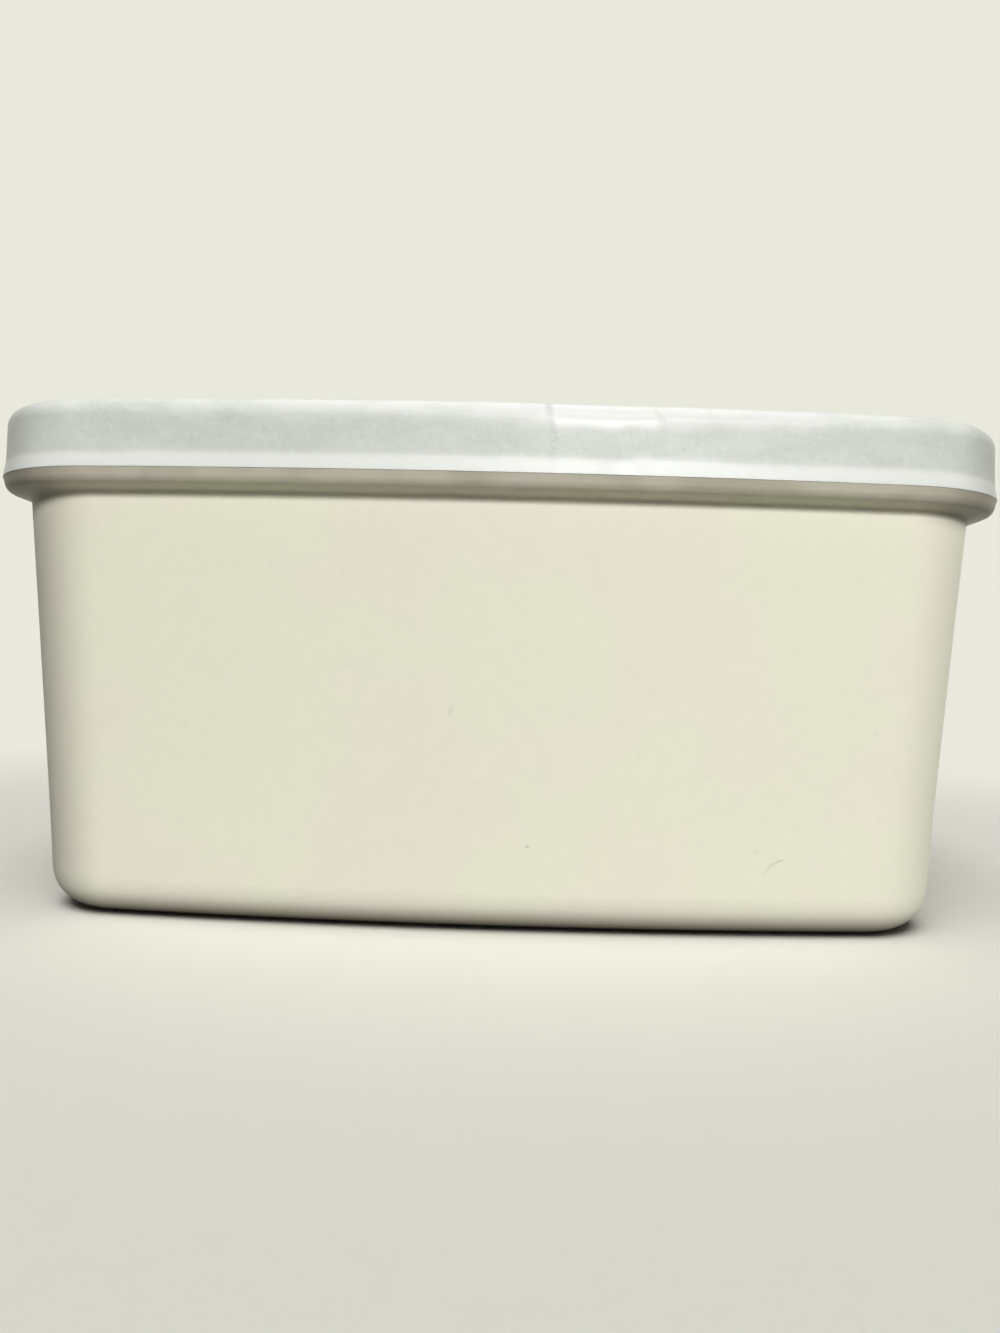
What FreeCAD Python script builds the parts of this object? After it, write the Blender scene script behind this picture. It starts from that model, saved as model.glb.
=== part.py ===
"""A one-litre rectangular food tub with its press-on lid shut.

Every level of both pieces is the same bowed rectangle: two long arcs, two short arcs and four
corner arcs, all tangent. A level is set in by its inset, which comes off each of its radii, so
all levels run parallel. +Z is up, +X runs along the tub, and the origin is the middle of the
base, on the surface that the tub stands on. Sizes are in millimetres and degrees.
"""

import FreeCAD
import Part
import math
import os
import Sketcher
from FreeCAD import Vector

SIZES = {
    # The bowed rectangle at the lid's bottom edge, the widest place.
    "lid_length": 168.0,
    "lid_width": 114.0,
    "corner_radius": 22.6,
    "long_bow": 600.0,
    "short_bow": 360.0,
    # The tub's wall, from the foot up to the flange.
    "wall_height": 67.5,
    "wall_inset": 4.4,
    "wall_draft": 4.1,
    "base_fillet": 7.0,
    # The foot ring, round a shallow recess with the mark that moulding leaves.
    "foot_width": 3.0,
    "recess_depth": 0.9,
    "recess_fillet": 0.4,
    "gate_radius": 4.0,
    "gate_depth": 0.3,
    # The flange: a shallow slope outwards, then an upright lip under the lid's edge.
    "flange_rise": 0.9,
    "flange_fillet": 1.3,
    "lip_inset": 0.55,
    "lip_height": 2.0,
    "lip_fillet": 1.6,
    # The rim that the lid sits on.
    "rim_width": 3.6,
    "rim_fillet": 0.3,
    # The lid's skirt, its shoulder and its raised border.
    "skirt_height": 10.85,
    "flare_height": 2.3,
    "flare_inset": 0.35,
    "skirt_draft": 1.5,
    "edge_fillet": 0.2,
    "lid_wall": 1.0,
    "shoulder_fillet": 2.8,
    # The lid's sunk panel, with its bead and the button that moulding leaves.
    "panel_drop": 2.6,
    "panel_fillet": 1.0,
    "bead_margin": 7.0,
    "bead_width": 2.4,
    "bead_height": 0.5,
    "bead_fillet": 0.4,
    "button_radius": 3.0,
    "button_height": 0.4,
    # The clearances between lid and tub.
    "skirt_gap": 0.05,
    "side_gap": 0.25,
    "channel_gap": 1.6,
    "panel_gap": 0.3,
}

# Levels, above the surface that the tub stands on.
GROUND = "0"
RECESS_TOP = "sizes.recess_depth"
FLANGE = "sizes.wall_height"
LIP = f"{FLANGE} + sizes.flange_rise"
SHELF = f"{LIP} + sizes.lip_height"
SKIRT = f"{SHELF} + sizes.skirt_gap"
FLARE = f"{SKIRT} + sizes.flare_height"
TOP = f"{SKIRT} + sizes.skirt_height"
SEAT = f"{TOP} - sizes.lid_wall"
PANEL = f"{TOP} - sizes.panel_drop"
BEAD_TOP = f"{PANEL} + sizes.bead_height"
CEILING = f"{PANEL} - sizes.lid_wall"
PLATEAU = f"{CEILING} - sizes.panel_gap"

# Insets, from the lid's bottom edge.
FOOT = "sizes.wall_inset + sizes.wall_height * tan(sizes.wall_draft * 1 deg)"
FOOT_FLAT = f"{FOOT} + sizes.base_fillet * tan(45 deg - sizes.wall_draft * 0.5 deg)"
FOOT_INSIDE = f"{FOOT_FLAT} + sizes.foot_width"
SHOULDER = (
    "sizes.flare_inset"
    " + (sizes.skirt_height - sizes.flare_height) * tan(sizes.skirt_draft * 1 deg)"
)
SKIRT_INSIDE = f"{SHOULDER} + sizes.lid_wall"
RIM = f"{SKIRT_INSIDE} + sizes.side_gap"
RIM_INSIDE = f"{RIM} + sizes.rim_width"
CHANNEL_INSIDE = f"{RIM_INSIDE} + sizes.channel_gap"
BORDER = f"{CHANNEL_INSIDE} + sizes.lid_wall"
BEAD_OUTSIDE = f"{BORDER} + sizes.bead_margin"
BEAD_INSIDE = f"{BEAD_OUTSIDE} + sizes.bead_width"

# The lid's shoulder has one wall thickness all round its curve, and the rim follows it.
INNER_SHOULDER = "sizes.shoulder_fillet - sizes.lid_wall"

# Sketcher's numbers for the points of an arc, and for the axes and the origin.
START, END, CENTRE = 1, 2, 3
X_AXIS, Y_AXIS = -1, -2
ORIGIN = (-1, 1)

# How far a corner may be from where an edge is looked for.
NEAR = 1e-3

doc = FreeCAD.newDocument("food_tub")
sheet = doc.addObject("Spreadsheet::Sheet", "sizes")
for row, (alias, size) in enumerate(SIZES.items(), start=1):
    sheet.set(f"A{row}", alias)
    sheet.set(f"B{row}", str(size))
    sheet.setAlias(f"B{row}", alias)
doc.recompute()


def value(expression):
    """The plain number that an expression on the sheet's sizes gives."""
    found = sheet.evalExpression(expression)
    return getattr(found, "Value", found)


def centres():
    """The centres of the long arc, the short arc and the corner arc between +X and +Y."""
    long_centre = Vector(0, value("sizes.lid_width / 2 - sizes.long_bow"), 0)
    short_centre = Vector(value("sizes.lid_length / 2 - sizes.short_bow"), 0, 0)
    # The corner arc touches both from inside, which puts its centre this far from theirs.
    long_reach = value("sizes.long_bow - sizes.corner_radius")
    short_reach = value("sizes.short_bow - sizes.corner_radius")
    between = short_centre - long_centre
    along = (long_reach**2 - short_reach**2 + between.Length**2) / (2 * between.Length)
    aside = (long_reach**2 - along**2) ** 0.5
    step = between / between.Length
    corner = long_centre + step * along + Vector(step.y, -step.x, 0) * aside
    return long_centre, short_centre, corner


def joints(inset):
    """The eight points where an outline's arcs meet, from +X round by +Y."""
    long_centre, short_centre, corner = centres()
    amount = value(inset)
    short_joint, long_joint = (
        centre + (corner - centre).normalize() * (value(bow) - amount)
        for centre, bow in ((short_centre, "sizes.short_bow"), (long_centre, "sizes.long_bow"))
    )
    found = []
    for x, y in ((1, 1), (-1, 1), (-1, -1), (1, -1)):
        pair = (short_joint, long_joint) if x == y else (long_joint, short_joint)
        found += [Vector(x * point.x, y * point.y, 0) for point in pair]
    return found


def bind(sketch, name, expression, kind, *where):
    """Adds a dimension whose size is an expression on the sheet."""
    number = sketch.addConstraint(Sketcher.Constraint(kind, *where, value(expression)))
    sketch.renameConstraint(number, name)
    sketch.setExpression(f"Constraints.{name}", expression)


def draw_outline(sketch, name, inset):
    """Draws the bowed rectangle at an inset, its radii and centres bound to the sheet."""
    long_centre, short_centre, corner = centres()
    points = joints(inset)
    arcs = []
    for x, y in ((1, 1), (-1, 1), (-1, -1), (1, -1)):
        bow = long_centre if x == y else short_centre
        bow_side = y if x == y else x
        for centre in (Vector(x * corner.x, y * corner.y, 0), bow * bow_side):
            start, end = points[len(arcs)], points[(len(arcs) + 1) % len(points)]
            circle = Part.Circle(centre, Vector(0, 0, 1), (start - centre).Length)
            angles = [math.atan2(p.y - centre.y, p.x - centre.x) for p in (start, end)]
            arcs.append(sketch.addGeometry(Part.ArcOfCircle(circle, *angles), False))
    for here, after in zip(arcs, arcs[1:] + arcs[:1]):
        sketch.addConstraint(Sketcher.Constraint("Tangent", here, END, after, START))
    corners, (back, left, front, right) = arcs[0::2], arcs[1::2]
    for first, others in ((corners[0], corners[1:]), (back, [front]), (right, [left])):
        for other in others:
            sketch.addConstraint(Sketcher.Constraint("Equal", first, other))
    for arc, axis in ((back, Y_AXIS), (front, Y_AXIS), (left, X_AXIS), (right, X_AXIS)):
        sketch.addConstraint(Sketcher.Constraint("PointOnObject", arc, CENTRE, axis))
    bind(sketch, f"{name}_corner", f"sizes.corner_radius - ({inset})", "Radius", corners[0])
    bind(sketch, f"{name}_long", f"sizes.long_bow - ({inset})", "Radius", back)
    bind(sketch, f"{name}_short", f"sizes.short_bow - ({inset})", "Radius", right)
    long_back = "sizes.long_bow - sizes.lid_width / 2"
    short_back = "sizes.short_bow - sizes.lid_length / 2"
    bind(sketch, f"{name}_back", long_back, "DistanceY", back, CENTRE, *ORIGIN)
    bind(sketch, f"{name}_front", long_back, "DistanceY", *ORIGIN, front, CENTRE)
    bind(sketch, f"{name}_right", short_back, "DistanceX", right, CENTRE, *ORIGIN)
    bind(sketch, f"{name}_left", short_back, "DistanceX", *ORIGIN, left, CENTRE)


def new_sketch(body, name, level, outlines=(), circle=None):
    """A sketch at a level of its body, with an outline for each inset and, if named, a circle
    about the middle."""
    sketch = body.newObject("Sketcher::SketchObject", name)
    plane = next(f for f in body.Origin.OriginFeatures if f.Role == "XY_Plane")
    sketch.AttachmentSupport = [(plane, "")]
    sketch.MapMode = "FlatFace"
    sketch.setExpression("AttachmentOffset.Base.z", level)
    for number, inset in enumerate(outlines):
        draw_outline(sketch, f"outline{number}", inset)
    if circle:
        round_edge = Part.Circle(Vector(), Vector(0, 0, 1), value(circle))
        edge = sketch.addGeometry(round_edge, False)
        sketch.addConstraint(Sketcher.Constraint("Coincident", edge, CENTRE, *ORIGIN))
        bind(sketch, "circle", circle, "Radius", edge)
    doc.recompute()
    return sketch


def pad(body, name, length, *sketch):
    """Raises a new sketch by a length."""
    raised = body.newObject("PartDesign::Pad", name)
    raised.Profile = new_sketch(body, f"{name}_sketch", *sketch)
    raised.setExpression("Length", length)
    doc.recompute()
    return raised


def pocket(body, name, depth, upward, *sketch):
    """Cuts a new sketch out of the body, upwards from the sketch or downwards."""
    before = body.Shape.Volume
    cut = body.newObject("PartDesign::Pocket", name)
    cut.Profile = new_sketch(body, f"{name}_sketch", *sketch)
    cut.Reversed = upward
    cut.setExpression("Length", depth)
    doc.recompute()
    if not body.Shape.Volume < before - NEAR:
        raise ValueError(f"{name} cuts nothing")
    return cut


def slope(body, name, *levels):
    """Joins outlines by straight walls, from the first (level, inset) up to the last."""
    sketches = [
        new_sketch(body, f"{name}_sketch{number}", level, (inset,))
        for number, (level, inset) in enumerate(levels)
    ]
    joined = body.newObject("PartDesign::AdditiveLoft", name)
    joined.Profile = sketches[0]
    joined.Sections = sketches[1:]
    joined.Ruled = True
    doc.recompute()
    return joined


def outline_edges(shape, level, inset):
    """The names of a shape's edges that lie on the outline at a level and an inset."""
    there = [Vector(p.x, p.y, value(level)) for p in joints(inset)]
    names = []
    for number, edge in enumerate(shape.Edges, start=1):
        ends = [vertex.Point for vertex in edge.Vertexes]
        if all(any(end.isEqual(point, NEAR) for point in there) for end in ends):
            names.append(f"Edge{number}")
    if len(names) != len(there):
        raise ValueError(f"{len(names)} edges at level {level}, inset {inset}")
    return names


def fillet(body, name, radius, *outlines):
    """Rounds the body's edges along outlines, each a (level, inset)."""
    base = body.Tip
    names = [edge for outline in outlines for edge in outline_edges(base.Shape, *outline)]
    rounded = body.newObject("PartDesign::Fillet", name)
    rounded.Base = (base, names)
    rounded.setExpression("Radius", radius)
    doc.recompute()
    return rounded


def new_body(name):
    body = doc.addObject("PartDesign::Body", name)
    body.Label = name
    return body


def make_tub():
    """The tub: a drafted wall on a foot ring, under a flange with a lip and the lid's seat."""
    tub = new_body("tub")
    slope(tub, "wall", (GROUND, FOOT), (FLANGE, "sizes.wall_inset"))
    slope(tub, "flange", (FLANGE, "sizes.wall_inset"), (LIP, "sizes.lip_inset"))
    pad(tub, "lip", "sizes.lip_height", LIP, ("sizes.lip_inset",))
    pad(tub, "rim", f"({SEAT}) - ({SHELF})", SHELF, (RIM,))
    pocket(tub, "plateau", f"({SEAT}) - ({PLATEAU})", False, SEAT, (RIM_INSIDE,))
    pocket(tub, "recess", "sizes.recess_depth", True, GROUND, (FOOT_INSIDE,))
    pocket(tub, "gate", "sizes.gate_depth", True, RECESS_TOP, (), "sizes.gate_radius")
    fillet(tub, "base_fillet", "sizes.base_fillet", (GROUND, FOOT))
    recess_edges = (GROUND, FOOT_INSIDE), (RECESS_TOP, FOOT_INSIDE)
    fillet(tub, "recess_fillet", "sizes.recess_fillet", *recess_edges)
    fillet(tub, "flange_fillet", "sizes.flange_fillet", (FLANGE, "sizes.wall_inset"))
    fillet(tub, "lip_fillet", "sizes.lip_fillet", (LIP, "sizes.lip_inset"))
    fillet(tub, "rim_shoulder", INNER_SHOULDER, (SEAT, RIM))
    fillet(tub, "rim_fillet", "sizes.rim_fillet", (SEAT, RIM_INSIDE))
    return tub


def make_lid():
    """The lid: a flared skirt, a rounded shoulder and a raised border round a sunk panel."""
    lid = new_body("lid")
    slope(lid, "flare", (SKIRT, "0"), (FLARE, "sizes.flare_inset"))
    slope(lid, "skirt", (FLARE, "sizes.flare_inset"), (TOP, SHOULDER))
    pocket(lid, "panel", "sizes.panel_drop", False, TOP, (BORDER,))
    pocket(lid, "inside", f"({CEILING}) - ({SKIRT})", True, SKIRT, (SKIRT_INSIDE,))
    channel = (SKIRT_INSIDE, CHANNEL_INSIDE)
    pocket(lid, "channel", f"({SEAT}) - ({CEILING})", True, CEILING, channel)
    pad(lid, "bead", "sizes.bead_height", PANEL, (BEAD_OUTSIDE, BEAD_INSIDE))
    pad(lid, "button", "sizes.button_height", PANEL, (), "sizes.button_radius")
    fillet(lid, "shoulder_fillet", "sizes.shoulder_fillet", (TOP, SHOULDER))
    fillet(lid, "inner_shoulder", INNER_SHOULDER, (SEAT, SKIRT_INSIDE))
    panel_edges = (TOP, BORDER), (PANEL, BORDER)
    fillet(lid, "panel_fillet", "sizes.panel_fillet", *panel_edges)
    bead_edges = (BEAD_TOP, BEAD_OUTSIDE), (BEAD_TOP, BEAD_INSIDE)
    fillet(lid, "bead_fillet", "sizes.bead_fillet", *bead_edges)
    fillet(lid, "edge_fillet", "sizes.edge_fillet", (SKIRT, "0"))
    return lid


def check(bodies):
    """Stops if any object of the document failed, or a body isn't one valid solid."""
    doc.recompute()
    for item in doc.Objects:
        if {"Invalid", "Error"} & set(item.State):
            raise ValueError(f"{item.Name}: {item.State}")
    for body in bodies:
        shape = body.Shape
        if shape.isNull() or not shape.isValid() or len(shape.Solids) != 1:
            raise ValueError(f"{body.Label} isn't one valid solid")


pieces = [make_tub(), make_lid()]
check(pieces)
os.makedirs("parts", exist_ok=True)
for piece in pieces:
    piece.Shape.exportStep(f"parts/{piece.Label}.step")
    print(piece.Label, piece.Shape.BoundBox, round(piece.Shape.Volume))
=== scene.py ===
"""The looks of a rectangular food tub with its press-on lid shut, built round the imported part."""

import math

import bpy
from mathutils import Matrix, Vector, noise


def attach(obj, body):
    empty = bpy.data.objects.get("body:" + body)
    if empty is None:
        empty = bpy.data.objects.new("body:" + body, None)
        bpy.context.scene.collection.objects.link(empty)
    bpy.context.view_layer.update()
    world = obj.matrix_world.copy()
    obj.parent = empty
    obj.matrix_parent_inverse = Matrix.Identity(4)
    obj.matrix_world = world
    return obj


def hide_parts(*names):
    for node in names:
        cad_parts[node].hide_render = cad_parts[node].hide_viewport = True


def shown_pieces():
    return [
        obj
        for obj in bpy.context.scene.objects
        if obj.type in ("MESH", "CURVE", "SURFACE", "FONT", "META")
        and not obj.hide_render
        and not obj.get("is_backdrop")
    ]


bl_info = {
    "name": "Food Tub With Lid",
    "version": (1, 0, 0),
    "blender": (4, 5, 0),
    "location": "3D View > Sidebar > Food Tub",
    "description": "Builds a rectangular food tub, its press-on lid and a plain studio round them",
    "category": "Object",
}

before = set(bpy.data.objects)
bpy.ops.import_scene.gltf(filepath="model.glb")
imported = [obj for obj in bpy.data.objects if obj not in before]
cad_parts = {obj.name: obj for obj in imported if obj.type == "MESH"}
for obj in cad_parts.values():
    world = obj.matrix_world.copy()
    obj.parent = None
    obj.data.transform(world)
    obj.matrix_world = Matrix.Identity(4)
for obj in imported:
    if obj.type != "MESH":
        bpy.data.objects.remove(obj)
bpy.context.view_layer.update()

MM = 0.001

# How many points each arc of the outline gets.
LONG_STEPS, SHORT_STEPS, CORNER_STEPS = 48, 28, 24

# How finely a profile's curves and straight runs are divided, how close to a run's end the
# last row is held, and the turn from which a corner without a fillet stays sharp.
CURVE_STEP = math.radians(9)
RUN_STEP = 2.6 * MM
HOLD = 0.12 * MM
SHARP_TURN = math.radians(40)

# The flat middles of base, panel and plateau start this far inside the last edge, and their
# rows go in by these shares to the gate mark or the button. Each of those has its innermost row
# at a share of its radius.
INNER_MARGIN = 2 * MM
CLOSING_SHARES = (0.12, 0.3, 0.5, 0.68, 0.82, 0.93, 1.0)
GATE_SHARE, BUTTON_SHARE = 0.6, 0.5

# Every outline is drawn in by a skin, so that nothing stands out of the part's box.
SKIN = 0.045 * MM

# The slow waves in the moulding: their scale per metre, how far their noise is stretched, and
# each piece's seed. They stay clear of the foot and of the wall's top, and fade in from there.
WAVE_SCALE, WAVE_STRETCH = 21.0, 1.6
TUB_SEED, LID_SEED = 3.7, 8.1
FOOT_CLEAR, TOP_CLEAR, WALL_FADE, SKIRT_FADE = 6 * MM, 2 * MM, 14 * MM, 4 * MM


# ---------------------------------------------------------------- sizes and colours


def length_property(label, millimetres, description):
    return bpy.props.FloatProperty(
        name=label, description=description, default=millimetres * MM, min=0.0, precision=5,
        unit="LENGTH", subtype="DISTANCE",
    )


def angle_property(label, degrees, description):
    return bpy.props.FloatProperty(
        name=label, description=description, default=math.radians(degrees), subtype="ANGLE",
    )


def colour_property(label, colour, description):
    return bpy.props.FloatVectorProperty(
        name=label, description=description, default=colour, size=3, min=0.0, max=1.0,
        subtype="COLOR",
    )


def share_property(label, share, description):
    return bpy.props.FloatProperty(
        name=label, description=description, default=share, min=0.0, max=1.0, subtype="FACTOR",
    )


class OutlineSizes(bpy.types.PropertyGroup):
    """The bowed rectangle at the lid's bottom edge, which every level runs parallel to."""

    length: length_property("Length", 168.0, "Length over the two short bows")
    width: length_property("Width", 114.0, "Width over the two long bows")
    corner: length_property("Corner radius", 22.6, "Radius of the four corners")
    long_bow: length_property("Long bow", 600.0, "Radius of the long sides")
    short_bow: length_property("Short bow", 360.0, "Radius of the short sides")


class TubSizes(bpy.types.PropertyGroup):
    """The tub's sizes, from its foot up to the rim."""

    wall_height: length_property("Wall height", 67.5, "Height of the wall under the flange")
    wall_inset: length_property("Wall inset", 4.4, "How far the wall's top stands in")
    wall_draft: angle_property("Wall draft", 4.1, "How much the wall leans in towards the foot")
    base_fillet: length_property("Base fillet", 7.0, "Round between the wall and the foot")
    foot_width: length_property("Foot width", 3.0, "Width of the flat ring it stands on")
    recess_depth: length_property("Recess depth", 0.9, "Depth of the recess in the base")
    recess_fillet: length_property("Recess fillet", 0.4, "Round on the recess's edges")
    gate_radius: length_property("Gate radius", 4.0, "Radius of the mark that moulding leaves")
    gate_depth: length_property("Gate depth", 0.3, "Depth of the mark that moulding leaves")
    flange_rise: length_property("Flange rise", 0.9, "Height of the slope under the lip")
    flange_fillet: length_property("Flange fillet", 1.3, "Round between wall and slope")
    lip_inset: length_property("Lip inset", 0.55, "How far the lip stands in")
    lip_height: length_property("Lip height", 2.0, "Height of the upright lip")
    lip_fillet: length_property("Lip fillet", 1.6, "Round under the lip")
    lip_flare: length_property("Lip flare", 0.12, "How far the lip's flared top stands in")
    rim_width: length_property("Rim width", 3.6, "Width of the rim that the lid sits on")
    rim_fillet: length_property("Rim fillet", 0.3, "Round on the rim's inner edge")
    ripple: length_property("Ripple", 0.16, "Depth of the slow waves in the moulded wall")


class LidSizes(bpy.types.PropertyGroup):
    """The lid's sizes, from its skirt to its sunk panel."""

    skirt_height: length_property("Skirt height", 10.85, "Height of the skirt")
    flare_height: length_property("Flare height", 2.3, "Height of the flared bottom strip")
    flare_inset: length_property("Flare inset", 0.35, "How far the strip's top stands in")
    skirt_draft: angle_property("Skirt draft", 1.5, "How much the skirt leans in upwards")
    edge_fillet: length_property("Edge fillet", 0.06, "Round on the skirt's bottom edge")
    wall: length_property("Wall", 1.0, "Thickness of the lid")
    shoulder_fillet: length_property("Shoulder fillet", 2.8, "Round on the lid's shoulder")
    panel_drop: length_property("Panel drop", 2.6, "How deep the panel is sunk")
    panel_fillet: length_property("Panel fillet", 1.0, "Round on the border's inner edges")
    bead_margin: length_property("Bead margin", 7.0, "From the border to the bead")
    bead_width: length_property("Bead width", 2.4, "Width of the panel's bead")
    bead_height: length_property("Bead height", 0.5, "Height of the panel's bead")
    bead_fillet: length_property("Bead fillet", 0.4, "Round on the bead's edges")
    button_radius: length_property("Button radius", 3.0, "Radius of the moulding's button")
    button_height: length_property("Button height", 0.4, "Height of the moulding's button")
    skirt_gap: length_property("Skirt gap", 0.05, "Clearance between skirt and lip")
    side_gap: length_property("Side gap", 0.25, "Clearance between skirt and rim")
    channel_gap: length_property("Channel gap", 1.6, "Clearance inside the rim")
    panel_gap: length_property("Panel gap", 0.3, "Clearance under the panel")
    ripple: length_property("Ripple", 0.14, "Depth of the slow waves in the moulded skirt")
    knock: length_property("Knock", 0.24, "Depth of the flattened length beside the crease")


class Finishes(bpy.types.PropertyGroup):
    """The colours and gloss of tub, lid and floor."""

    cream: colour_property("Cream", (0.842, 0.801, 0.673), "The tub's plastic")
    green_cream: colour_property("Green cream", (0.831, 0.823, 0.660), "The tub's greener parts")
    # This colour is painted shade, for the lip under the lid, the flange's ends and the foot.
    painted_shade: colour_property("Soiled", (0.36, 0.32, 0.25), "The tub's lip under the lid")
    # This colour is also painted shade, darkening the tub's upright corners.
    scuff_and_shade: colour_property("Scuff", (0.55, 0.54, 0.44), "The scratch and specks on the wall")
    frost: colour_property("Frost", (0.60, 0.632, 0.578), "The lid's skirt")
    # This colour is also painted highlight, along the lid's strip, shoulder and flattened length.
    pale_frost_and_highlight: colour_property("Pale frost", (0.815, 0.835, 0.785), "The lid's thick places")
    tub_roughness: share_property("Tub roughness", 0.46, "How matt the tub is")
    lid_roughness: share_property("Lid roughness", 0.44, "How matt the lid is")
    floor: colour_property("Floor", (0.92, 0.91, 0.83), "The floor and what lies behind it")


class FoodTub(bpy.types.PropertyGroup):
    """Everything that the food tub is built from."""

    outline: bpy.props.PointerProperty(type=OutlineSizes, name="Outline")
    tub: bpy.props.PointerProperty(type=TubSizes, name="Tub")
    lid: bpy.props.PointerProperty(type=LidSizes, name="Lid")
    finishes: bpy.props.PointerProperty(type=Finishes, name="Finishes")


# ---------------------------------------------------------------- shapes


class Outline:
    """Points round the bowed rectangle: for each, its arc's centre, radius and direction."""

    def __init__(self, sizes):
        long_y = sizes.width / 2 - sizes.long_bow
        short_x = sizes.length / 2 - sizes.short_bow
        corner = self.corner_centre(sizes, long_y, short_x)
        turn = math.atan2(corner.y, corner.x - short_x)
        lift = math.atan2(corner.y - long_y, corner.x)
        self.spokes = []
        for side, start in ((1, 0.0), (-1, math.pi)):
            end = start + math.pi
            near = Vector((side * corner.x, side * corner.y, 0))
            far = Vector((-side * corner.x, side * corner.y, 0))
            long_centre = Vector((0, side * long_y, 0))
            short_centre = Vector((-side * short_x, 0, 0))
            self.add_arc(near, sizes.corner, start + turn, start + lift, CORNER_STEPS)
            self.add_arc(long_centre, sizes.long_bow, start + lift, end - lift, LONG_STEPS)
            self.add_arc(far, sizes.corner, end - lift, end - turn, CORNER_STEPS)
            self.add_arc(short_centre, sizes.short_bow, end - turn, end + turn, SHORT_STEPS)

    @staticmethod
    def corner_centre(sizes, long_y, short_x):
        """Where a corner's arc touches both bows from inside."""
        long_reach = sizes.long_bow - sizes.corner
        short_reach = sizes.short_bow - sizes.corner
        between = Vector((short_x, -long_y, 0))
        span = between.length
        along = (long_reach**2 - short_reach**2 + span**2) / (2 * span)
        aside = math.sqrt(long_reach**2 - along**2)
        step = between / span
        return Vector((0, long_y, 0)) + step * along + Vector((step.y, -step.x, 0)) * aside

    def add_arc(self, centre, radius, first, last, steps):
        for step in range(steps):
            angle = first + (last - first) * step / steps
            direction = Vector((math.cos(angle), math.sin(angle), 0))
            self.spokes.append((centre, radius, direction))

    def points(self, inset):
        return [centre + direction * (radius - inset) for centre, radius, direction in self.spokes]


class Row:
    """One ring of a piece: an outline at an inset, drawn in towards a circle by a share."""

    def __init__(self, inset, level, share=0.0, radius=0.0, sharp=False):
        self.inset = inset
        self.level = level
        self.share = share
        self.radius = radius
        self.sharp = sharp

    def points(self, outline):
        found = []
        for point in outline.points(self.inset):
            round_point = point.normalized() * self.radius
            flat = point.lerp(round_point, self.share)
            found.append(Vector((flat.x, flat.y, self.level)))
        return found


def rounded(corners):
    """Rows along a profile of (inset, level, fillet radius) corners, its curves and runs
    divided, with a row held close to each end of a run."""
    flat = [Vector((inset, level)) for inset, level, _ in corners]
    last = len(corners) - 1
    rows = []
    for number, (_, _, radius) in enumerate(corners):
        if radius > 0 and 0 < number < last:
            stretch = fillet(*flat[number - 1:number + 2], radius)
            sharp = False
        else:
            stretch = [flat[number]]
            sharp = 0 < number < last and is_sharp(*flat[number - 1:number + 2])
        if rows:
            rows += run_rows(rows[-1], stretch[0])
        rows += [Row(point.x, point.y, sharp=sharp) for point in stretch]
    return rows


def fillet(before, here, after, radius):
    """Points round a corner of the profile, on an arc that touches both of its runs."""
    back, ahead = (before - here).normalized(), (after - here).normalized()
    between = back.angle(ahead)
    reach = radius / math.tan(between / 2)
    middle = here + (back + ahead).normalized() * (radius / math.sin(between / 2))
    first, last = here + back * reach - middle, here + ahead * reach - middle
    sweep = math.pi - between
    steps = max(2, math.ceil(sweep / CURVE_STEP))
    side = 1 if first.x * last.y - first.y * last.x > 0 else -1
    curve = []
    for step in range(steps + 1):
        angle = side * sweep * step / steps
        cos, sin = math.cos(angle), math.sin(angle)
        spoke = Vector((first.x * cos - first.y * sin, first.x * sin + first.y * cos))
        curve.append(middle + spoke)
    return curve


def is_sharp(before, here, after):
    """Whether a profile turns enough at a corner for the edge there to stay sharp."""
    return (here - before).angle(after - here) > SHARP_TURN


def run_rows(last_row, end):
    """Rows between a run's two ends, the first and last held close to them."""
    start = Vector((last_row.inset, last_row.level))
    span = (end - start).length
    if span < 4 * HOLD:
        return []
    steps = max(1, math.ceil(span / RUN_STEP))
    between = [step / steps for step in range(1, steps)]
    places = [HOLD / span, *between, 1 - HOLD / span]
    return [Row(*start.lerp(end, place)) for place in places]


def closing_rows(inset, level, radius):
    """Rows from an outline in to a circle about the middle, all at one level."""
    return [Row(inset, level, share, radius) for share in CLOSING_SHARES]


def smoothed(share):
    """A share from 0 to 1, smooth at both ends."""
    share = max(0.0, min(1.0, share))
    return share * share * (3 - 2 * share)


def hump(level, low, high, soft):
    """1 between two levels and 0 outside them, with soft ends."""
    return smoothed((level - low) / soft) * smoothed((high - level) / soft)


def wave_in(point, depth, seed):
    """How far a slow wave pushes a point of the moulded wall in, from nothing to a depth."""
    swell = noise.noise(point * WAVE_SCALE + Vector((seed, -seed, seed))) * WAVE_STRETCH
    return depth * (0.5 + 0.5 * max(-1.0, min(1.0, swell)))


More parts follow.
